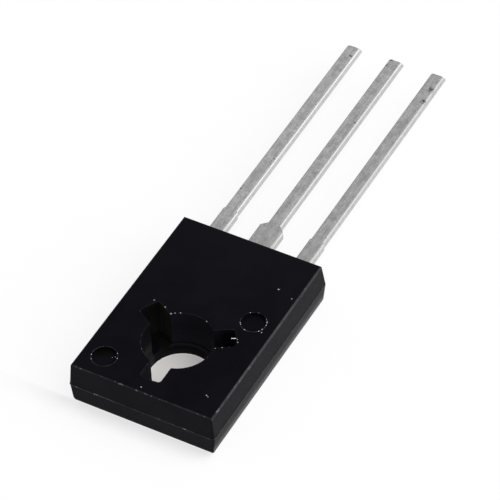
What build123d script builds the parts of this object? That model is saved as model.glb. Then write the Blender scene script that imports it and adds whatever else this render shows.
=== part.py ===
from build123d import *
import os

# A plastic power transistor, in millimetres.
# The origin is on the axis of the mounting hole, in the back face that goes against a heat sink.
# +Z leaves the front face and +Y runs towards the tips of the leads.

# Moulded case
case_width = 7.77
case_length = 11.1
case_thickness = 2.65
hole_to_end = 3.7
parting_height = 1.33
draft = 5.5
hole_end_corner_radius = 0.16
lead_end_corner_radius = 0.3
front_edge_radius = 0.1
back_edge_radius = 0.42

# Mounting hole, with the three lobes left by the pin that holds the pad down in the mould
hole_radius = 1.76
bore_radius = 1.6
lobe_width = 1.1
lobe_depth = 0.97
lobe_corner_radius = 0.16
lobe_skin = 0.08
lobe_count = 3
lobe_start_angle = 30

# Round marks of the two ejector pins on the front face
mark_radius = 0.62
mark_depth = 0.15
mark_side_inset = 1.285
mark_end_inset = 1.29
mark_offset = 2.62

# Strip that the three leads are stamped from
gauge = 0.5
lead_pitch = 2.39
lead_length = 15.4
lead_width = 0.66
lead_edge_radius = 0.09
tip_slope_length = 0.33
tip_slope_depth = 0.42
tip_corner_radius = 0.12
side_root_width = 0.78
side_root_length = 1.97
middle_root_width = 1.27
middle_root_length = 1.77

# Mounting pad, with the moulding that lines its hole
pad_thickness = 0.5
pad_side_wall = 1.03
pad_end_wall = 0.7
pad_corner_radius = 0.5
pad_margin = 0.1
lining_wall = 0.55
lip_height = 0.3
lip_overhang = 0.22

# Tongue by which the middle lead is soldered to the pad, and the joggle up from it
# The shares are of the length between the die and the case's end
tongue_width = 1.05
tongue_gap_share = 0.06
tongue_share = 0.3
joggle_share = 0.27
joggle_radius = 0.48

# Inner posts of the two outer leads
post_side_wall = 0.66
post_end_wall = 0.5
post_length = 1.65
post_gap = 0.8
post_corner_radius = 0.2

# Silicon die and its solder
die_size = 1.8
die_thickness = 0.3
die_gap = 0.32
solder_thickness = 0.04
solder_margin = 0.08

# Bond wires
emitter_wire_diameter = 0.3
base_wire_diameter = 0.2
wire_cover = 0.3
wire_bend_radius = 0.8
wire_peak_share = 0.45
die_foot_share = 0.25
post_foot_share = 0.3
foot_length_share = 2.2
foot_width_share = 1.3
foot_height_share = 0.6

# Length by which every cut runs past the face it leaves
cut_overrun = 0.4

# Levels and places that follow from the sizes above
case_end = case_length - hole_to_end
case_middle = case_length / 2 - hole_to_end
lead_level = parting_height
lead_top = lead_level + gauge
lead_tip = case_end + lead_length
lobe_reach = hole_radius + lobe_depth
lobe_floor = pad_thickness + lobe_skin
mark_side = case_width / 2 - mark_side_inset
pad_hole_radius = bore_radius + lining_wall
die_middle = pad_hole_radius + die_gap + die_size / 2
die_end = die_middle + die_size / 2
tongue_room = case_end - die_end
tongue_start = die_end + tongue_room * tongue_gap_share
tongue_end = tongue_start + tongue_room * tongue_share
joggle_end = tongue_end + tongue_room * joggle_share
pad_start = pad_end_wall - hole_to_end
pad_end = tongue_end + pad_margin
pad_width = case_width - 2 * pad_side_wall
pad_length = pad_end - pad_start
pad_middle = (pad_start + pad_end) / 2
post_outer = case_width / 2 - post_side_wall
post_inner = middle_root_width / 2 + post_gap
post_width = post_outer - post_inner
post_end = case_end - post_end_wall
post_start = post_end - post_length
die_level = pad_thickness + solder_thickness
die_top = die_level + die_thickness

os.makedirs("parts", exist_ok=True)
inserts = []


def keep(piece, name):
    """Labels a finished piece, writes it and notes it as one that the case is moulded round."""
    piece.label = name
    export_step(piece, f"parts/{name}.step")
    inserts.append(piece)


def lead_blade(middle, root_start, root_width, root_length):
    """Draws one lead from above: a wide root, sloped shoulders and a narrow blade up to the tip."""
    half_root = root_width / 2
    half_blade = lead_width / 2
    root_end = case_end + root_length
    shoulder_end = root_end + half_root - half_blade
    with BuildLine() as outline:
        Polyline(
            (middle - half_root, root_start),
            (middle - half_root, root_end),
            (middle - half_blade, shoulder_end),
            (middle - half_blade, lead_tip),
            (middle + half_blade, lead_tip),
            (middle + half_blade, shoulder_end),
            (middle + half_root, root_end),
            (middle + half_root, root_start),
            close=True,
        )
    make_face(outline.edges())


def finish_lead(lead):
    """Slopes the sheared tip, rounds its corners and rolls over the long front edges, as the punch does."""
    front = lead.faces().group_by(Axis.Z)[-1].sort_by(Axis.Y)[-1]
    chamfer(front.edges().sort_by(Axis.Y)[-1], tip_slope_length, tip_slope_depth, reference=front)
    slope_edges = lead.faces().sort_by(Axis.Y)[-2].edges().sort_by(Axis.X)
    fillet((slope_edges[0], slope_edges[-1]), tip_corner_radius)
    front = lead.faces().group_by(Axis.Z)[-1].sort_by(Axis.Y)[-1]
    rolled_end = lead_tip - tip_slope_length - tip_corner_radius
    fillet(front.edges().filter_by_position(Axis.Y, case_end, rolled_end), lead_edge_radius)


# Mounting pad, with a coined lip round its front that keys it into the moulding
with BuildPart() as mounting_pad:
    for level, overhang in ((0, 0), (lip_height, lip_overhang)):
        with BuildSketch(Plane.XY.offset(level)):
            with Locations((0, pad_middle)):
                RectangleRounded(
                    pad_width + 2 * overhang,
                    pad_length + 2 * overhang,
                    pad_corner_radius + overhang,
                )
            Circle(pad_hole_radius, mode=Mode.SUBTRACT)
        extrude(amount=pad_thickness - level)
keep(mounting_pad.part, "mounting_pad")

# Collector lead: a tongue soldered to the pad, a joggle up to the parting line and the middle blade
with BuildPart() as collector_lead:
    with BuildSketch(Plane.YZ):
        with BuildLine():
            FilletPolyline(
                (tongue_start, pad_thickness + gauge / 2),
                (tongue_end, pad_thickness + gauge / 2),
                (joggle_end, lead_level + gauge / 2),
                (case_end, lead_level + gauge / 2),
                radius=joggle_radius,
            )
        trace(line_width=gauge)
    extrude(amount=tongue_width / 2, both=True)
    with BuildSketch(Plane.XY.offset(lead_level)):
        lead_blade(0, post_end, middle_root_width, middle_root_length)
    extrude(amount=gauge)
    finish_lead(collector_lead)
keep(collector_lead.part, "collector_lead")

# Outer leads, each with a bonding post inside the case
for name, side in (("emitter_lead", 1), ("base_lead", -1)):
    with BuildPart() as outer_lead:
        with BuildSketch(Plane.XY.offset(lead_level)):
            with Locations((side * (post_inner + post_width / 2), post_start + post_length / 2)):
                RectangleRounded(post_width, post_length, post_corner_radius)
            lead_blade(side * lead_pitch, post_start + post_length / 2, side_root_width, side_root_length)
        extrude(amount=gauge)
        finish_lead(outer_lead)
    keep(outer_lead.part, name)

# Solder layer, sloped at its rim, and the die on it
with BuildPart() as die_attach:
    with BuildSketch(Plane.XY.offset(pad_thickness)):
        with Locations((0, die_middle)):
            Rectangle(die_size + 2 * solder_margin, die_size + 2 * solder_margin)
    with BuildSketch(Plane.XY.offset(die_level)):
        with Locations((0, die_middle)):
            Rectangle(die_size, die_size)
    loft()
keep(die_attach.part, "die_attach")

with BuildPart() as die:
    with BuildSketch(Plane.XY.offset(die_level)):
        with Locations((0, die_middle)):
            Rectangle(die_size, die_size)
    extrude(amount=die_thickness)
keep(die.part, "die")

# Bond wires: a flattened foot on the die, a loop over to the post and a flattened foot there
for name, side, diameter in (
    ("emitter_wire", 1, emitter_wire_diameter),
    ("base_wire", -1, base_wire_diameter),
):
    radius = diameter / 2
    first = Vector(side * die_size * die_foot_share, die_middle + die_size * die_foot_share)
    last = Vector(side * (post_inner + post_width * post_foot_share), post_start + post_length / 2)
    across = last - first
    heading = Vector(1, 0).get_signed_angle(across, Vector(0, 0, 1))
    loop_level = case_thickness - wire_cover - radius
    peak = first + across * wire_peak_share
    with BuildPart() as wire:
        with BuildLine() as route:
            FilletPolyline(
                (first.X, first.Y, die_top + radius),
                (peak.X, peak.Y, loop_level),
                (last.X, last.Y, lead_top + radius),
                radius=wire_bend_radius,
            )
        with BuildSketch(Plane(origin=route.line @ 0, z_dir=route.line % 0)):
            Circle(radius)
        sweep()
        for foot, level in ((first, die_top), (last, lead_top)):
            with BuildSketch(Plane.XY.offset(level)):
                with Locations((foot.X, foot.Y)):
                    SlotOverall(
                        diameter * foot_length_share,
                        diameter * foot_width_share,
                        rotation=heading,
                    )
            extrude(amount=diameter * foot_height_share)
    keep(wire.part, name)

# Case: both halves of the mould draw away from the parting line, and the inserts leave their own shapes in it
with BuildPart() as case:
    with BuildSketch(Plane.XY.offset(parting_height)) as outline:
        with Locations((0, case_middle)):
            Rectangle(case_width, case_length)
        corners = outline.vertices().sort_by(Axis.Y)
        fillet(corners[:2], hole_end_corner_radius)
        fillet(corners[2:], lead_end_corner_radius)
    extrude(amount=case_thickness - parting_height, taper=draft)
    extrude(outline.sketch, amount=-parting_height, taper=draft)
    fillet(case.faces().sort_by(Axis.Z)[-1].edges(), front_edge_radius)
    fillet(case.faces().sort_by(Axis.Z)[0].edges(), back_edge_radius)
    with BuildSketch(Plane.XY.offset(lobe_floor)) as lobed_hole:
        with PolarLocations(0, lobe_count, start_angle=lobe_start_angle):
            Rectangle(lobe_reach, lobe_width, align=(Align.MIN, Align.CENTER))
        Circle(lobe_reach, mode=Mode.INTERSECT)
        fillet(lobed_hole.vertices().sort_by_distance((0, 0, 0))[-2 * lobe_count:], lobe_corner_radius)
        Circle(hole_radius)
    extrude(amount=case_thickness + cut_overrun, mode=Mode.SUBTRACT)
    with BuildSketch(Plane.XY.offset(-cut_overrun)):
        Circle(bore_radius)
    extrude(amount=case_thickness, mode=Mode.SUBTRACT)
    with BuildSketch(Plane.XY.offset(case_thickness - mark_depth)):
        with Locations((-mark_side, mark_end_inset - hole_to_end), (mark_side, mark_offset)):
            Circle(mark_radius)
    extrude(amount=mark_depth + cut_overrun, mode=Mode.SUBTRACT)
    for piece in inserts:
        add(piece, mode=Mode.SUBTRACT)
case.part.label = "case"
export_step(case.part, "parts/case.step")
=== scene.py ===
import bmesh
import bpy
import math
from mathutils import Matrix, Vector, noise


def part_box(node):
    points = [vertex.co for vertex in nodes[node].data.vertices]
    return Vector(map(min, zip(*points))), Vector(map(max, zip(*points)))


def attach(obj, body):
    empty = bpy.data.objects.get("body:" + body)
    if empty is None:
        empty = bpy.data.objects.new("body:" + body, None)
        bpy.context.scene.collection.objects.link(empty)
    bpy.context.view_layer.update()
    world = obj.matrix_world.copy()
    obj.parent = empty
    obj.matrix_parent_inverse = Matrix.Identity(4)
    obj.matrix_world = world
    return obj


# A plastic power transistor lies on its back on white paper, with its leads pointing away from the camera.
# Lengths are in millimetres, which MM turns into metres. Those of the floor and the lamp are in metres.

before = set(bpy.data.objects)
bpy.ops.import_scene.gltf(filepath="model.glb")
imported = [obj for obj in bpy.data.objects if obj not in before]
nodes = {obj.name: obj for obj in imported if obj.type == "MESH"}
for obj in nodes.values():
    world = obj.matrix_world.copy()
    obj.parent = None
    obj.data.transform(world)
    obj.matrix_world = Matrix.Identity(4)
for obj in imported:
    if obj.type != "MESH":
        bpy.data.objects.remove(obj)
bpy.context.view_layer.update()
MM = 0.001
UP = Vector((0, 0, 1))

# Camera, fitted to the edges seen in the photograph
TARGET = Vector((-0.476, 7.809, 1.294)) * MM
AZIMUTH = math.radians(30.784)
ELEVATION = math.radians(45.956)
ROLL = math.radians(-3.062)
DISTANCE = 164.2 * MM
SENSOR = 36
LENS = 243.5
CLIP_START = 10 * MM
CLIP_END = 10000 * MM

back = Vector((
    math.sin(AZIMUTH) * math.cos(ELEVATION),
    -math.cos(AZIMUTH) * math.cos(ELEVATION),
    math.sin(ELEVATION),
))
level = Vector((math.cos(AZIMUTH), math.sin(AZIMUTH), 0))
rise = back.cross(level)
right = level * math.cos(ROLL) + rise * math.sin(ROLL)
up = rise * math.cos(ROLL) - level * math.sin(ROLL)
camera_data = bpy.data.cameras.new("camera")
camera_data.sensor_width = SENSOR
camera_data.lens = LENS
camera_data.clip_start = CLIP_START
camera_data.clip_end = CLIP_END
camera = bpy.data.objects.new("camera", camera_data)
bpy.context.scene.collection.objects.link(camera)
axes = Matrix((right, up, back)).transposed().to_4x4()
camera.matrix_world = Matrix.Translation(TARGET + back * DISTANCE) @ axes
bpy.context.scene.camera = camera
bpy.context.scene.view_settings.view_transform = "Standard"

# Case and pad, from the frame
CASE_LOW, CASE_HIGH = (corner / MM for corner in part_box("case"))
HALF_WIDTH = CASE_HIGH.x
HOLE_END = CASE_LOW.y
LEAD_END = CASE_HIGH.y
FACE = CASE_HIGH.z
PAD_LOW, PAD_HIGH = (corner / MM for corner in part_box("mounting_pad"))

# Forms inside those boxes
PARTING = 1.33
HOLE_END_CORNER = 0.16
LEAD_END_CORNER = 0.3
HOLE_RADIUS = 1.76
LEFT_MARK = (-2.6, -2.41)
RIGHT_MARK = (2.6, 2.62)
MARK_RADIUS = 0.62
MARK_FLOOR = 2.5
PAD_HOLE_RADIUS = 2.15
PAD_LIP = 0.22
# Middles and half widths of the leads where they leave the case
LEAD_ROOTS = ((-2.39, 0.39), (0, 0.635), (2.39, 0.39))


class Graph:
    """A node material, built by short calls that return output sockets."""

    def __init__(self, name):
        self.material = bpy.data.materials.new(name)
        self.material.use_nodes = True
        self.tree = self.material.node_tree
        self.tree.nodes.clear()
        self.output = self.tree.nodes.new("ShaderNodeOutputMaterial")

    def put(self, socket, value):
        """Links a socket to another one, or sets it to a constant."""
        if isinstance(value, bpy.types.NodeSocket):
            self.tree.links.new(value, socket)
        else:
            socket.default_value = value

    def node(self, kind, settings=None, **inputs):
        """A new node. The names of its inputs are written with _ for each space."""
        made = self.tree.nodes.new(kind)
        for key, value in (settings or {}).items():
            setattr(made, key, value)
        for key, value in inputs.items():
            self.put(made.inputs[key.replace("_", " ")], value)
        return made

    def math(self, operation, a, b=0.0, clamp=False):
        made = self.node("ShaderNodeMath", {"operation": operation, "use_clamp": clamp})
        self.put(made.inputs[0], a)
        self.put(made.inputs[1], b)
        return made.outputs[0]

    def fold(self, operation, values):
        """One operation over all values, from the first to the last."""
        result = values[0]
        for value in values[1:]:
            result = self.math(operation, result, value)
        return result

    def plus(self, *values):
        return self.fold("ADD", values)

    def minus(self, a, b):
        return self.math("SUBTRACT", a, b)

    def times(self, *values):
        return self.fold("MULTIPLY", values)

    def greatest(self, *values):
        return self.fold("MAXIMUM", values)

    def least(self, *values):
        return self.fold("MINIMUM", values)

    def place(self, scale=(1, 1, 1)):
        """Position in the row frame, in millimetres times scale."""
        coords = self.node("ShaderNodeTexCoord").outputs["Object"]
        mapped = self.node("ShaderNodeMapping", Vector=coords)
        mapped.inputs["Scale"].default_value = [s / MM for s in scale]
        return mapped.outputs["Vector"]

    def axes(self, vector):
        """The three components of a vector."""
        split = self.node("ShaderNodeSeparateXYZ", Vector=vector)
        return split.outputs["X"], split.outputs["Y"], split.outputs["Z"]

    def normal(self):
        """The three components of the direction that the surface faces."""
        return self.axes(self.node("ShaderNodeNewGeometry").outputs["Normal"])

    def distance(self, vector, place):
        """Distance from a fixed place, in the units of vector."""
        made = self.node("ShaderNodeVectorMath", {"operation": "DISTANCE"})
        self.put(made.inputs[0], vector)
        self.put(made.inputs[1], place)
        return made.outputs["Value"]

    def radius(self, x, y):
        """Distance from the axis of the mounting hole."""
        return self.math("SQRT", self.plus(self.times(x, x), self.times(y, y)))

    def noise(self, vector, scale, detail=2.0, roughness=0.5):
        made = self.node("ShaderNodeTexNoise", Vector=vector, Scale=scale)
        self.put(made.inputs["Detail"], detail)
        self.put(made.inputs["Roughness"], roughness)
        return made.outputs["Fac"]

    def span(self, value, low, high, to_low=0.0, to_high=1.0):
        """Maps low..high to to_low..to_high, smoothly and clamped."""
        made = self.node("ShaderNodeMapRange", {"interpolation_type": "SMOOTHSTEP"})
        self.put(made.inputs["Value"], value)
        self.put(made.inputs["From Min"], low)
        self.put(made.inputs["From Max"], high)
        self.put(made.inputs["To Min"], to_low)
        self.put(made.inputs["To Max"], to_high)
        return made.outputs["Result"]

    def mix(self, share, a, b):
        """Colour a, with this share of colour b laid over it."""
        made = self.node("ShaderNodeMix", {"data_type": "RGBA"})
        colours = [s for s in made.inputs if s.type == "RGBA"]
        self.put(made.inputs[0], share)
        self.put(colours[0], a)
        self.put(colours[1], b)
        return [s for s in made.outputs if s.type == "RGBA"][0]

    def bump(self, height, strength, distance):
        made = self.node("ShaderNodeBump", Height=height, Strength=strength, Distance=distance * MM)
        return made.outputs["Normal"]

    def edges(self, radius):
        """0 on flat faces, rising towards 1 on edges within radius millimetres."""
        rounded = self.node("ShaderNodeBevel", {"samples": 6}, Radius=radius * MM).outputs["Normal"]
        true = self.node("ShaderNodeNewGeometry").outputs["Normal"]
        product = self.node("ShaderNodeVectorMath", {"operation": "DOT_PRODUCT"})
        self.put(product.inputs[0], rounded)
        self.put(product.inputs[1], true)
        return self.math("SUBTRACT", 1.0, product.outputs["Value"], clamp=True)

    def specks(self, vector, scale, radius, share, core=0.6):
        """Sparse round specks: 1 in their cores, for this share of the cells of a random lattice."""
        cells = self.node("ShaderNodeTexVoronoi", Vector=vector, Scale=scale)
        pick = self.axes(cells.outputs["Color"])[0]
        inside = self.span(cells.outputs["Distance"], radius * core, radius, 1, 0)
        return self.times(inside, self.math("LESS_THAN", pick, share))

    def spots(self, colour, vector, places, paint, rag=None, core=1, rim=1.5, strength=1):
        """Paints a spot at each place, with its size, over colour. The noise rag makes them ragged."""
        for place, size in places:
            reach = self.distance(vector, place)
            if rag is not None:
                reach = self.plus(reach, self.span(rag, 0.3, 0.7, 0, size))
            colour = self.mix(self.span(reach, size * core, size * rim, strength, 0), colour, paint)
        return colour

    def surface(self, **inputs):
        shader = self.node("ShaderNodeBsdfPrincipled", **inputs)
        self.tree.links.new(shader.outputs[0], self.output.inputs["Surface"])


def grey(value):
    return (value, value, value, 1)


def on_circle(middle, radius, degrees, height):
    """The place at this angle of a level circle."""
    angle = math.radians(degrees)
    return (middle[0] + radius * math.cos(angle), middle[1] + radius * math.sin(angle), height)


# Sizes of the chips, and how far those on an edge lie off it
FINE = 0.025
SMALL = 0.034
MIDDLE = 0.04
LARGE = 0.048
CHIP_SHIFT = 0.01
# Chips and scratches of the front face and of the left mark's floor
SCUFFS = (
    ((2.85, -2.4, FACE), MIDDLE),
    ((2.95, -2.45, FACE), SMALL),
    ((2.65, 5, FACE), LARGE),
    ((3.5, 4.75, FACE), SMALL),
    ((3.25, 2.2, FACE), SMALL),
    ((-0.1, -3.3, FACE), SMALL),
    ((-2.3, 1.75, FACE), SMALL),
    ((-1.6, 1.6, FACE), SMALL),
    ((1.8, 0.35, FACE), SMALL),
    ((2.05, 0.55, FACE), SMALL),
    ((2.55, 1.15, FACE), SMALL),
    ((2.45, 1.3, FACE), FINE),
    ((-3.7, -3.6, FACE), LARGE),
    ((-2.2, -2.1, MARK_FLOOR), FINE),
    ((-2.3, -2.2, MARK_FLOOR), FINE),
)
# Chips on the rim of the hole, by their angles
RIM_CHIPS = tuple(
    (on_circle((0, 0), HOLE_RADIUS + CHIP_SHIFT, degrees, FACE), size)
    for degrees, size in ((130, LARGE), (124, SMALL), (116, SMALL), (70, FINE))
)
# Chips on the burrs round the ejector marks, by their angles
RING_CHIPS = tuple(
    (on_circle(middle, MARK_RADIUS, degrees, FACE + CHIP_SHIFT), size)
    for middle, degrees, size in (
        (LEFT_MARK, 13, FINE),
        (LEFT_MARK, 42, FINE),
        (LEFT_MARK, 196, FINE),
        (LEFT_MARK, 221, FINE),
        (RIGHT_MARK, -39, SMALL),
        (RIGHT_MARK, -22, SMALL),
        (RIGHT_MARK, 8, SMALL),
        (RIGHT_MARK, 24, MIDDLE),
        (RIGHT_MARK, 133, SMALL),
        (RIGHT_MARK, 210, FINE),
        (RIGHT_MARK, 219, FINE),
        (RIGHT_MARK, 256, SMALL),
    )
)

# Tones of the moulding, as linear colours
FACE_DARK = (0.0017, 0.0015, 0.0034, 1)
FACE_LIGHT = (0.0030, 0.0026, 0.0049, 1)
# Painted reflection: the moulding grows lighter towards the lead end
FACE_LEAD_END = (0.0058, 0.0052, 0.0080, 1)
# The hole's tones are painted light and shade: raised above the face's to make up for the shade in the hole,
# and lighter still towards the bottom
LEFT_WALL = (0.0024, 0.0022, 0.0036, 1)
LEFT_WALL_LOW = (0.021, 0.0206, 0.0216, 1)
FAR_WALL = (0.0048, 0.0045, 0.0083, 1)
FAR_WALL_LOW = (0.021, 0.0198, 0.028, 1)
# Painted shade of the right lobe
RIGHT_LOBE_SHADE = (0.0016, 0.0014, 0.0021, 1)
# Painted light and shade of the left lobe: darker on walls that face the lamp at the right and on its floor,
# lighter on walls that face away, and lighter towards the bottom
LOBE_SHADE_FACING_RIGHT = (0.0022, 0.0022, 0.0019, 1)
LOBE_SHADE_FACING_RIGHT_LOW = (0.010, 0.010, 0.009, 1)
LOBE_LIGHT_FACING_LEFT = (0.014, 0.014, 0.0126, 1)
LOBE_LIGHT_FACING_LEFT_LOW = (0.04, 0.04, 0.036, 1)
LOBE_FLOOR_SHADE = (0.0045, 0.0045, 0.0040, 1)
BORE = (0.0022, 0.0021, 0.0022, 1)
BORE_LOW = (0.009, 0.0088, 0.0092, 1)
BORE_RIGHT = (0.011, 0.0107, 0.014, 1)
OLIVE = (0.0016, 0.0016, 0.0008, 1)
# Painted reflection of the floor, low on both sides
FOOT_REFLECTION_PAINT = grey(0.06)
# Painted highlight of the front edges
EDGE_HIGHLIGHT = (0.048, 0.046, 0.052, 1)
RUBBED_RIM = (0.016, 0.0155, 0.018, 1)
WORN_BIT = grey(0.16)
DUST = (0.2, 0.2, 0.19, 1)
CHIP = (0.38, 0.38, 0.37, 1)
SKIN = (0.004, 0.004, 0.005, 1)
# Specular level of the moulding, low enough for its deep black
SPECULAR = 0.044
# Radii between which the tones of the hole end, just past its lobes
HOLE_REACH = (2.85, 2.95)
# Middle of the olive tinge on the left mark's floor
TINGE_PLACE = (-2.91, -2.12, MARK_FLOOR)


def hole_tones(g, mm, radius):
    """Walls of the hole, with painted light and shade: left and far wall and bore raised above the face's
    tone and lighter towards the bottom, the right lobe darker, and the left lobe darker where it faces the
    lamp, lighter where it faces away.
    """
    x, y, z = g.axes(mm)
    nx, _, nz = g.normal()
    # Distance from the middle line of the left lobe, which lies at 150 degrees
    across = g.plus(g.times(x, 0.5), g.times(y, 0.866))
    # Painted light: the left wall grows lighter towards the bottom, where the hole is most shaded
    left_low = g.times(g.span(z, 1.6, 0.9), g.span(across, -0.6, -0.56, 1, 0))
    left_wall = g.mix(left_low, LEFT_WALL, LEFT_WALL_LOW)
    # Painted light: the far wall grows lighter towards the bottom and the right
    far_low = g.times(g.span(z, 1.75, 0.7), g.span(x, -1.2, 1.2, 0.5, 1))
    far_wall = g.mix(far_low, FAR_WALL, FAR_WALL_LOW)
    walls = g.mix(g.span(x, -1.7, -1.2), left_wall, far_wall)
    # Painted shade: the right lobe darker
    right_lobe = g.times(g.span(x, 1.35, 1.6, 0, 0.75), g.span(radius, 1.77, 1.8))
    walls = g.mix(right_lobe, walls, RIGHT_LOBE_SHADE)
    # Painted light and shade in the left lobe: walls facing the lamp darker, walls facing away lighter, its
    # floor darker, all lighter towards the bottom
    upper = g.span(z, 0.7, 2.4)
    facing_right = g.mix(upper, LOBE_SHADE_FACING_RIGHT_LOW, LOBE_SHADE_FACING_RIGHT)
    facing_left = g.mix(upper, LOBE_LIGHT_FACING_LEFT_LOW, LOBE_LIGHT_FACING_LEFT)
    left_lobe_tones = g.mix(g.span(nx, 0.45, -0.45), facing_right, facing_left)
    left_lobe_tones = g.mix(g.span(nz, 0.3, 0.6), left_lobe_tones, LOBE_FLOOR_SHADE)
    # Where the left lobe's painted light and shade go
    film_and_lobe_mask = g.times(g.span(across, -0.1, 0.08), g.span(x, -1.15, -1.25))
    walls = g.mix(film_and_lobe_mask, walls, left_lobe_tones)
    # Painted light: the bore grows lighter towards the bottom and the right
    bore = g.mix(g.span(z, 0.42, 0.1), BORE, BORE_LOW)
    bore = g.mix(g.span(x, 0.7, 1.2), bore, BORE_RIGHT)
    in_bore = g.times(g.span(z, 0.58, 0.66, 0.8, 0), g.span(nz, 0.3, 0.6, 1, 0), g.span(x, -1.55, -1.3))
    return g.mix(in_bore, walls, bore)


def edge_wear_and_highlight(g, mm, colour, outside, hole_end):
    """Paints a highlight on the front edges, most of all the right one, and rubs the rims of hole and marks,
    with bare bits.
    """
    _, y, z = g.axes(mm)
    nx, _, nz = g.normal()
    above_side = g.span(g.minus(nz, g.times(hole_end, 0.3)), 0.0, 0.06)
    below_face = g.span(g.minus(nz, g.times(hole_end, 0.08)), 0.72, 0.92, 1, 0)
    front_edge = g.times(outside, above_side, below_face, g.span(z, 2.46, 2.54))
    patches = g.span(g.noise(mm, 2.1, 3), 0.34, 0.62, 0.5, 1)
    # Painted highlight on the front edges: strongest on the right one, weaker on the hole end, and varied
    # along the right edge
    along = g.times(g.span(y, -3.4, -1, 0.6, 1), g.span(y, 2.4, 5, 1, 0.65))
    highlight_share = g.greatest(g.times(hole_end, 0.4), g.times(g.span(nx, 0.1, 0.4, 0.22, 1), along))
    colour = g.mix(g.times(front_edge, highlight_share, patches), colour, EDGE_HIGHLIGHT)
    rim = g.times(g.span(g.edges(0.06), 0.01, 0.12), g.span(z, 2.56, 2.6))
    colour = g.mix(g.times(rim, patches), colour, RUBBED_RIM)
    worn = g.greatest(rim, g.times(front_edge, 0.5))
    return g.mix(g.times(worn, g.span(g.noise(mm, 6, 2), 0.62, 0.68)), colour, WORN_BIT)


def epoxy():
    """Fine matte moulded black, with painted light and shade in the hole, a painted floor reflection low on
    both sides, painted highlights on the front edges, a painted reflection towards the lead end, wear, dust
    and chips.
    """
    g = Graph("moulding_epoxy")
    mm = g.place()
    x, y, z = g.axes(mm)
    nx, ny, nz = g.normal()
    cloud = g.noise(mm, 0.55, 3)
    grain = g.noise(mm, 9, 4, 0.62)
    pits = g.noise(mm, 24, 2, 0.7)
    radius = g.radius(x, y)
    outside = g.span(radius, *HOLE_REACH)
    in_hole = g.times(g.span(radius, *HOLE_REACH, 1, 0), g.span(z, 2.6, 2.64, 1, 0))
    hole_end = g.span(ny, -0.1, -0.4)

    face = g.mix(g.span(cloud, 0.35, 0.65), FACE_DARK, FACE_LIGHT)
    # Painted reflection: lighter towards the lead end
    face = g.mix(g.span(y, 0, 7, 0, 0.35), face, FACE_LEAD_END)
    colour = g.mix(in_hole, face, hole_tones(g, mm, radius))
    tinge = g.times(g.span(z, 2.56, 2.62, 1, 0), g.span(g.distance(mm, TINGE_PLACE), 0.2, 0.42, 1, 0))
    colour = g.mix(tinge, colour, OLIVE)
    # Painted reflection: both sides lighter towards the bottom, as if mirroring the floor
    foot = g.times(outside, g.span(z, 0.9, 0.4), g.span(g.math("ABSOLUTE", nx), 0.6, 0.85))
    colour = g.mix(foot, colour, FOOT_REFLECTION_PAINT)
    colour = edge_wear_and_highlight(g, mm, colour, outside, hole_end)
    upright = g.span(nz, 0.5, 0.8, 1, 0)
    dust = g.times(g.specks(mm, 0.9, 0.045, 0.12), g.minus(1.0, in_hole), upright)
    colour = g.mix(dust, colour, DUST)
    colour = g.spots(colour, mm, SCUFFS + RIM_CHIPS + RING_CHIPS, CHIP, pits)

    lower_end = g.times(hole_end, g.span(z, 1.3, 1.36, 0.13, 0))
    duller = g.plus(g.times(in_hole, 0.2), lower_end)
    rough = g.plus(g.span(grain, 0.3, 0.7, 0.36, 0.48), duller)
    normal = g.bump(g.plus(grain, g.times(pits, 0.5)), 0.12, 0.03)
    g.surface(Base_Color=colour, Roughness=rough, Normal=normal, Specular_IOR_Level=SPECULAR)
    return g.material


def flash_epoxy(name, low, high, pale, left=1, chips=()):
    """A thin ragged skin that the mould leaves, paler where the noise passes from low to high; made near
    white, it also serves for the painted glint in the lobe.
    """
    g = Graph(name)
    mm = g.place()
    x = g.axes(mm)[0]
    thin = g.span(g.noise(mm, 1.6, 3), low, high, 0.45, 1)
    bits = g.span(g.noise(mm, 7, 3), 0.4, 0.62, 0.4, 1)
    side = g.times(g.span(x, 3.6, 3.8, 1, 0.2), g.span(x, -1.5, 1.5, left, 1))
    colour = g.mix(g.times(thin, bits, side), SKIN, grey(pale))
    specks = g.times(side, g.span(g.noise(mm, 5, 1), 0.66, 0.7))
    colour = g.mix(specks, colour, grey(pale * 2.5))
    colour = g.spots(colour, mm, chips, CHIP)
    rough = g.span(bits, 0.2, 1.0, 0.4, 0.55)
    normal = g.bump(bits, 0.2, 0.01)
    g.surface(Base_Color=colour, Roughness=rough, Normal=normal, Specular_IOR_Level=SPECULAR)
    return g.material


# Dark stains on the front of the leads, just under its highest level, with their sizes
STAIN_HEIGHT = 1.82
STAINS = (
    ((2.6, 21.35, STAIN_HEIGHT), 0.2),
    ((2.65, 20.4, STAIN_HEIGHT), 0.17),
    ((2.1, 20.2, STAIN_HEIGHT), 0.06),
    ((-2.2, 21.75, STAIN_HEIGHT), 0.1),
    ((-2.15, 13.4, STAIN_HEIGHT), 0.07),
    ((-2.65, 10.85, STAIN_HEIGHT), 0.06),
    ((-0.25, 21.95, STAIN_HEIGHT), 0.08),
    ((-0.2, 22.4, STAIN_HEIGHT), 0.1),
    ((0.25, 17.5, STAIN_HEIGHT), 0.07),
)
# Tones of the plating, as linear colours, and as greys that each lead's own tone scales
TIN_DARK = 0.52
TIN_LIGHT = 0.82
# Painted shade of the rounded shoulders
TIN_SHOULDER_SHADE = 0.33
TIN_SHEARED_DARK = 0.46
TIN_SHEARED_LIGHT = 0.6
TARNISH = (0.16, 0.155, 0.15, 1)
STAIN = grey(0.08)
# Yellowish tint near the roots of the leads
ROOT_TINT = (0.50, 0.50, 0.45, 1)
RESIN_BLEED = (0.09, 0.085, 0.07, 1)
COPPER = (0.62, 0.36, 0.25, 1)


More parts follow.
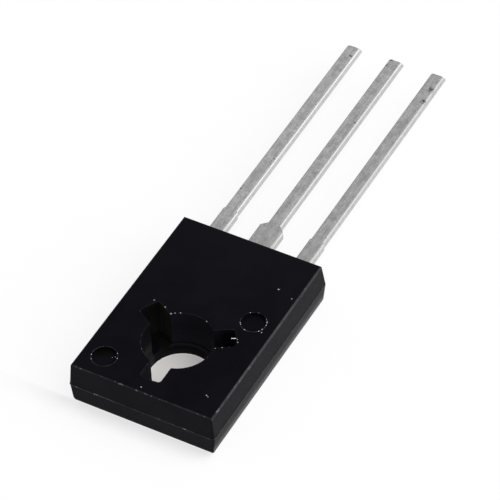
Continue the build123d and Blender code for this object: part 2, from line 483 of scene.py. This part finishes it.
def tin(name, tone, burnish_and_highlight):
    """Satin tin plate: grain along the leads, painted shade on the rounded shoulders, burnished sheared
    sides with a painted highlight in their bright band, and bare copper at the tips.
    """
    g = Graph(name)
    mm = g.place()
    _, y, z = g.axes(mm)
    _, ny, nz = g.normal()
    streaks = g.noise(g.place((22, 0.7, 22)), 1, 3, 0.6)
    score = g.noise(g.place((16, 16, 1.2)), 1, 3, 0.6)
    mottle = g.noise(mm, 2.2, 4, 0.6)
    fine = g.noise(mm, 14, 3, 0.65)
    tip = g.times(g.span(ny, 0.3, 0.5), g.span(y, 22.3, 22.4))
    blade = g.minus(1.0, tip)

    mixed = g.plus(g.times(mottle, 0.4), g.times(g.plus(streaks, fine), 0.3))
    colour = g.mix(g.span(mixed, 0.36, 0.64), grey(TIN_DARK * tone), grey(TIN_LIGHT * tone))
    # Painted shade: the rounded shoulders darker, against the lamp's highlight on them
    shoulder = g.times(blade, g.span(nz, 0.4, 0.65), g.span(nz, 0.93, 0.99, 1, 0))
    colour = g.mix(shoulder, colour, grey(TIN_SHOULDER_SHADE * tone))
    sheared = g.times(blade, g.span(nz, 0.4, 0.6, 1, 0), g.span(nz, -0.3, -0.1))
    scored = g.mix(g.span(score, 0.4, 0.7), grey(TIN_SHEARED_LIGHT * tone), grey(TIN_SHEARED_DARK * tone))
    colour = g.mix(sheared, colour, scored)
    # Burnished band high on the sheared sides, its colour raised to paint in the highlight there
    wavy_height = g.plus(z, g.times(g.noise(mm, 3, 2), 0.08))
    colour = g.mix(g.times(sheared, g.span(wavy_height, 1.69, 1.75)), colour, grey(burnish_and_highlight))
    tarnish = g.times(g.span(g.noise(mm, 4.2, 3, 0.6), 0.66, 0.72), g.span(fine, 0.4, 0.6), 0.7)
    colour = g.mix(tarnish, colour, TARNISH)
    colour = g.spots(colour, mm, STAINS, STAIN, fine, core=0.8, strength=0.85)
    # Yellowish tint near the root
    root_tint = g.times(g.span(y, 7.6, 9.0, 1, 0), g.span(mottle, 0.35, 0.65, 0.1, 0.6))
    colour = g.mix(root_tint, colour, ROOT_TINT)
    bleed = g.times(g.span(g.minus(y, g.times(mottle, 0.5)), 7.2, 7.35, 1, 0), 0.6)
    colour = g.mix(bleed, colour, RESIN_BLEED)
    bare = g.times(tip, g.span(z, 1.62, 1.7, 1, 0), g.span(score, 0.4, 0.6, 0.1, 0.7))
    colour = g.mix(bare, colour, COPPER)

    satin = g.span(g.plus(fine, g.times(streaks, 0.5)), 0.5, 1.0, 0.32, 0.46)
    rough = g.plus(satin, g.times(shoulder, 0.15))
    height = g.plus(g.times(streaks, 0.6), g.times(fine, 0.4), g.times(sheared, score))
    g.surface(Base_Color=colour, Metallic=1.0, Roughness=rough, Normal=g.bump(height, 0.16, 0.02))
    return g.material


# Tones of the pad, as linear colours
PAD_DARK = (0.5, 0.5, 0.49, 1)
PAD_LIGHT = (0.68, 0.68, 0.67, 1)
RESIN_FILM = (0.05, 0.048, 0.042, 1)


def pad_tin():
    """The plated pad: rolling marks across it and a film of resin that crept over its border."""
    g = Graph("tinned_pad")
    mm = g.place()
    x, y, _ = g.axes(mm)
    marks = g.noise(g.place((0.5, 18, 1)), 1, 4, 0.6)
    mottle = g.noise(mm, 1.4, 4, 0.6)
    fine = g.noise(mm, 13, 3, 0.65)
    colour = g.mix(g.span(g.plus(marks, mottle), 0.75, 1.25), PAD_DARK, PAD_LIGHT)

    half_width = PAD_HIGH.x - PAD_LIP
    half_length = (PAD_HIGH.y - PAD_LOW.y) / 2 - PAD_LIP
    middle = (PAD_HIGH.y + PAD_LOW.y) / 2
    to_hole = g.minus(g.radius(x, y), PAD_HOLE_RADIUS)
    to_side = g.minus(half_width, g.math("ABSOLUTE", x))
    to_end = g.minus(half_length, g.math("ABSOLUTE", g.minus(y, middle)))
    border = g.least(to_hole, to_side, to_end)
    film_and_lobe_mask = g.times(g.span(g.minus(border, g.times(mottle, 0.7)), -0.33, -0.22, 1, 0), 0.75)
    colour = g.mix(film_and_lobe_mask, colour, RESIN_FILM)

    rough = g.plus(g.span(fine, 0.3, 0.7, 0.3, 0.42), g.times(film_and_lobe_mask, 0.15))
    height = g.plus(g.times(marks, 0.7), g.times(fine, 0.3))
    g.surface(Base_Color=colour, Metallic=1.0, Roughness=rough, Normal=g.bump(height, 0.18, 0.02))
    return g.material


def plain_grain(name, low, high, metallic, roughness, scale):
    """A material for the sealed inner pieces: two tones of one colour, mixed by a fine grain."""
    g = Graph(name)
    grain = g.noise(g.place(), scale, 4, 0.6)
    colour = g.mix(g.span(grain, 0.35, 0.65), low, high)
    rough = g.span(grain, 0.3, 0.7, roughness - 0.06, roughness + 0.06)
    g.surface(Base_Color=colour, Roughness=rough, Metallic=metallic, Normal=g.bump(grain, 0.1, 0.01))
    return g.material


def dress(node, material):
    nodes[node].data.materials.clear()
    nodes[node].data.materials.append(material)


dress("case", epoxy())
dress("base_lead", tin("tinned_base", tone=1.02, burnish_and_highlight=0.98))
dress("collector_lead", tin("tinned_collector", tone=0.97, burnish_and_highlight=0.88))
dress("emitter_lead", tin("tinned_emitter", tone=0.95, burnish_and_highlight=0.74))
dress("mounting_pad", pad_tin())
silicon = plain_grain("silicon", (0.10, 0.11, 0.14, 1), (0.17, 0.18, 0.21, 1), 0.0, 0.2, 3)
dress("die", silicon)
solder = plain_grain("solder", (0.36, 0.36, 0.37, 1), (0.5, 0.5, 0.5, 1), 1.0, 0.45, 8)
dress("die_attach", solder)
wire_metal = plain_grain("bond_wire", (0.7, 0.7, 0.71, 1), (0.82, 0.82, 0.83, 1), 1.0, 0.28, 12)
dress("emitter_wire", wire_metal)
dress("base_wire", wire_metal)


# Ragged trim of the moulding, and the pale sliver that paints a glint: how high each kind stands, how wide
# it is and how deep its foot is sunk
FLASH = {"height": 0.04, "width": 0.075, "sink": 0.03}
BURR = {"height": 0.022, "width": 0.04, "sink": 0.02}
SLIVER = {"height": 0.02, "width": 0.042, "sink": 0.015}
# Steps of the parting line, along its runs and round each corner
OUTLINE_STEP = 0.05
CORNER_STEPS = 8
# The flash lies above the parting line, stops short of the leads and is lower on the emitter's side
FLASH_LIFT = 0.02
LEAD_CLEARANCE = 0.02
EMITTER_SIDE_SHARE = 0.4
# The burrs lie outside the ejector marks, each between two angles, and have a point every few degrees
BURRS = ((LEFT_MARK, -235, 117), (RIGHT_MARK, -180, 60))
BURR_SHIFT = 0.012
BURR_STEP = 3
# Ends of the pale sliver in the lobe on the emitter's side, a painted glint
SLIVER_INNER = Vector((2.15, 1.26, 2.625))
SLIVER_OUTER = Vector((2.445, 1.408, 2.625))
SLIVER_STEPS = 8
# Turns of the noise in each millimetre of a ridge, for its waves, its teeth and its lean
WAVES = 1.3
TEETH = 7.1
LEANS = 3.7


def case_outline():
    """Points of the parting line with their outward directions, anticlockwise from the emitter's corner."""
    points = []
    corners = (
        (HALF_WIDTH, LEAD_END, LEAD_END_CORNER, 0),
        (-HALF_WIDTH, LEAD_END, LEAD_END_CORNER, 90),
        (-HALF_WIDTH, HOLE_END, HOLE_END_CORNER, 180),
        (HALF_WIDTH, HOLE_END, HOLE_END_CORNER, 270),
    )
    for x, y, radius, start in corners:
        centre = Vector((x - math.copysign(radius, x), y - math.copysign(radius, y)))
        for i in range(CORNER_STEPS + 1):
            angle = math.radians(start + 90 * i / CORNER_STEPS)
            out = Vector((math.cos(angle), math.sin(angle)))
            points.append((centre + out * radius, out))
    dense = []
    for (a, out_a), (b, out_b) in zip(points, points[1:] + points[:1]):
        count = max(1, round((b - a).length / OUTLINE_STEP))
        for i in range(count):
            dense.append((a.lerp(b, i / count), out_a.lerp(out_b, i / count).normalized()))
    return dense


def ridge(path, height, width, sink):
    """A ragged open ridge along path: points, outward and sideways directions and shares of height."""
    rings = []
    for place, out, side, share in path:
        wave = noise.noise(place * WAVES) * 0.5 + 0.5
        teeth = noise.noise(place * TEETH) * 0.5 + 0.5
        tall = height * share * (0.25 + 1.35 * wave * teeth)
        wide = width * (0.6 + 0.8 * teeth)
        lean = side * (noise.noise(place * LEANS) * wide * 0.4)
        rings.append((
            place - out * sink - side * wide / 2,
            place - side * wide / 2,
            place + out * tall + lean,
            place + side * wide / 2,
            place - out * sink + side * wide / 2,
        ))
    verts = [tuple(v * MM) for ring in rings for v in ring]
    size = len(rings[0])
    faces = []
    for i in range(0, len(verts) - size, size):
        for k in range(size):
            m = (k + 1) % size
            faces.append((i + k, i + m, i + size + m, i + size + k))
    faces.append(tuple(reversed(range(size))))
    faces.append(tuple(len(verts) - size + k for k in range(size)))
    return verts, faces


def join(name, strips, material):
    """Makes one object of several ridges, riding on the part."""
    mesh = bpy.data.meshes.new(name)
    verts = []
    faces = []
    for strip_verts, strip_faces in strips:
        base = len(verts)
        verts += strip_verts
        faces += [tuple(base + i for i in face) for face in strip_faces]
    mesh.from_pydata(verts, [], faces)
    turned = bmesh.new()
    turned.from_mesh(mesh)
    bmesh.ops.recalc_face_normals(turned, faces=turned.faces)
    turned.to_mesh(mesh)
    turned.free()
    mesh.materials.append(material)
    piece = bpy.data.objects.new(name, mesh)
    bpy.context.scene.collection.objects.link(piece)
    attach(piece, "root")


def at_lead(point):
    """Whether a point of the parting line is where a lead comes out."""
    if point.y < LEAD_END - OUTLINE_STEP / 5:
        return False
    return any(abs(point.x - middle) < half + LEAD_CLEARANCE for middle, half in LEAD_ROOTS)


def parting_strips():
    """The parting line's flash, in runs from lead to lead that start at the middle lead."""
    outline = case_outline()
    start = next(
        i for i, (point, out) in enumerate(outline)
        if at_lead(point) and point.x < OUTLINE_STEP * 2
    )
    runs = [[]]
    for point, out in outline[start:] + outline[:start + 1]:
        if at_lead(point):
            runs.append([])
        else:
            place = Vector((point.x, point.y, PARTING + FLASH_LIFT))
            share = EMITTER_SIDE_SHARE if out.x > 0.9 else 1
            runs[-1].append((place, Vector((out.x, out.y, 0)), UP, share))
    return [ridge(run, **FLASH) for run in runs if len(run) > 2]


def mark_rims():
    """Low burrs round the ejector marks, which die out at both ends."""
    strips = []
    for (x, y), first, last in BURRS:
        path = []
        for degrees in range(first, last, BURR_STEP):
            angle = math.radians(degrees)
            out = Vector((math.cos(angle), math.sin(angle), 0))
            place = Vector((x, y, FACE)) + out * (MARK_RADIUS + BURR_SHIFT)
            share = math.sin(math.pi * (degrees - first) / (last - first))
            path.append((place, UP, out, share))
        strips.append(ridge(path, **BURR))
    return strips


def sliver():
    """A pale sliver that sticks out of the end of the emitter side's lobe, a painted glint there."""
    side = UP.cross(SLIVER_OUTER - SLIVER_INNER).normalized()
    places = [SLIVER_INNER.lerp(SLIVER_OUTER, i / SLIVER_STEPS) for i in range(SLIVER_STEPS + 1)]
    return [ridge([(place, UP, side, 1) for place in places], **SLIVER)]


flash_skin = flash_epoxy("flash_epoxy", low=0.4, high=0.66, pale=0.05)
join("parting_flash", parting_strips(), flash_skin)
burr_skin = flash_epoxy("burr_epoxy", low=0.5, high=0.8, pale=0.06, left=0.6, chips=RING_CHIPS)
join("mark_burrs", mark_rims(), burr_skin)
# Painted glint: a near white sliver at the end of the emitter side's lobe
glint_paint = flash_epoxy("painted_glint_epoxy", low=0.0, high=0.2, pale=0.9)
join("lobe_painted_glint", sliver(), glint_paint)


# Half the width of the floor and how far it lies under the part, in metres
FLOOR_HALF = 1.5
FLOOR_DROP = 0.00001
# Radii between which the painted warm shade under the hole ends
SHADE_REACH = (1.4, 2.4)
PAPER_DARK = grey(0.88)
PAPER_LIGHT = grey(0.90)
PAPER_IN_HOLE = (0.91, 0.875, 0.83, 1)


def paper():
    """The white floor: seen as near white, and still darker where the object shades it, with shade painted
    under the hole and a painted shadow just in front of the case.
    """
    g = Graph("floor_paper")
    mm = g.place()
    x, y, _ = g.axes(mm)
    from_hole = g.distance(mm, (0, 0, 0))
    colour = g.mix(g.span(g.noise(mm, 0.8, 3), 0.3, 0.7), PAPER_DARK, PAPER_LIGHT)
    colour = g.mix(g.span(from_hole, *SHADE_REACH, 1, 0), colour, PAPER_IN_HOLE)
    lit = g.node("ShaderNodeBsdfDiffuse", Color=colour)
    white = g.node("ShaderNodeEmission", Strength=1.0)

    rays = g.node("ShaderNodeLightPath").outputs
    seen = g.greatest(rays["Is Camera Ray"], rays["Is Glossy Ray"], rays["Is Transmission Ray"])
    # Painted shadow on the floor just in front of the hole end of the case, and painted shade under the hole
    painted_front_shadow = g.times(g.span(y, -3.3, -3.6), g.span(y, -3.7, -4.7, 1, 0), g.span(x, 3.4, 4.2, 1, 0))
    clear = g.times(g.span(from_hole, *SHADE_REACH, 0.17, 0.84), g.minus(1.0, g.times(painted_front_shadow, 0.36)))
    top = g.node("ShaderNodeMixShader", Fac=g.times(seen, clear))
    g.tree.links.new(lit.outputs[0], top.inputs[1])
    g.tree.links.new(white.outputs[0], top.inputs[2])

    from_below = g.node("ShaderNodeNewGeometry").outputs["Backfacing"]
    both = g.node("ShaderNodeMixShader", Fac=from_below)
    g.tree.links.new(top.outputs[0], both.inputs[1])
    g.tree.links.new(g.node("ShaderNodeBsdfTransparent").outputs[0], both.inputs[2])
    g.tree.links.new(both.outputs[0], g.output.inputs["Surface"])
    return g.material


floor_mesh = bpy.data.meshes.new("floor")
floor_corners = [
    (-FLOOR_HALF, -FLOOR_HALF, 0),
    (FLOOR_HALF, -FLOOR_HALF, 0),
    (FLOOR_HALF, FLOOR_HALF, 0),
    (-FLOOR_HALF, FLOOR_HALF, 0),
]
floor_mesh.from_pydata(floor_corners, [], [(0, 1, 2, 3)])
floor = bpy.data.objects.new("floor", floor_mesh)
floor.location.z = -FLOOR_DROP
bpy.context.scene.collection.objects.link(floor)
floor_mesh.materials.append(paper())

# World: white walls down to the horizon, dimmer overhead, with the elevations between which it dims
DIMS_FROM = math.radians(12)
DIMS_UP_TO = math.radians(42)
WALL_STRENGTH = 1.0
OVERHEAD_STRENGTH = 0.38
world = bpy.data.worlds.new("studio")
bpy.context.scene.world = world
world.use_nodes = True
tree = world.node_tree
tree.nodes.clear()
direction = tree.nodes.new("ShaderNodeTexCoord")
parts = tree.nodes.new("ShaderNodeSeparateXYZ")
fade = tree.nodes.new("ShaderNodeMapRange")
fade.interpolation_type = "SMOOTHSTEP"
fade.inputs["From Min"].default_value = math.sin(DIMS_FROM)
fade.inputs["From Max"].default_value = math.sin(DIMS_UP_TO)
fade.inputs["To Min"].default_value = WALL_STRENGTH
fade.inputs["To Max"].default_value = OVERHEAD_STRENGTH
sky = tree.nodes.new("ShaderNodeBackground")
sky.inputs["Color"].default_value = (1, 1, 1, 1)
world_out = tree.nodes.new("ShaderNodeOutputWorld")
tree.links.new(direction.outputs["Generated"], parts.inputs[0])
tree.links.new(parts.outputs["Z"], fade.inputs["Value"])
tree.links.new(fade.outputs["Result"], sky.inputs["Strength"])
tree.links.new(sky.outputs[0], world_out.inputs["Surface"])

# Key lamp: a square soft box at the right, aimed at the part, in metres and watts
KEY_PLACE = Vector((0.43, 0.0, 0.43))
KEY_SIZE = 0.8
KEY_POWER = 5.4
key_data = bpy.data.lights.new("key", "AREA")
key_data.shape = "SQUARE"
key_data.size = KEY_SIZE
key_data.energy = KEY_POWER
key = bpy.data.objects.new("key", key_data)
bpy.context.scene.collection.objects.link(key)
key.location = KEY_PLACE
key.rotation_mode = "QUATERNION"
key.rotation_quaternion = (TARGET - KEY_PLACE).to_track_quat("-Z", "Y")
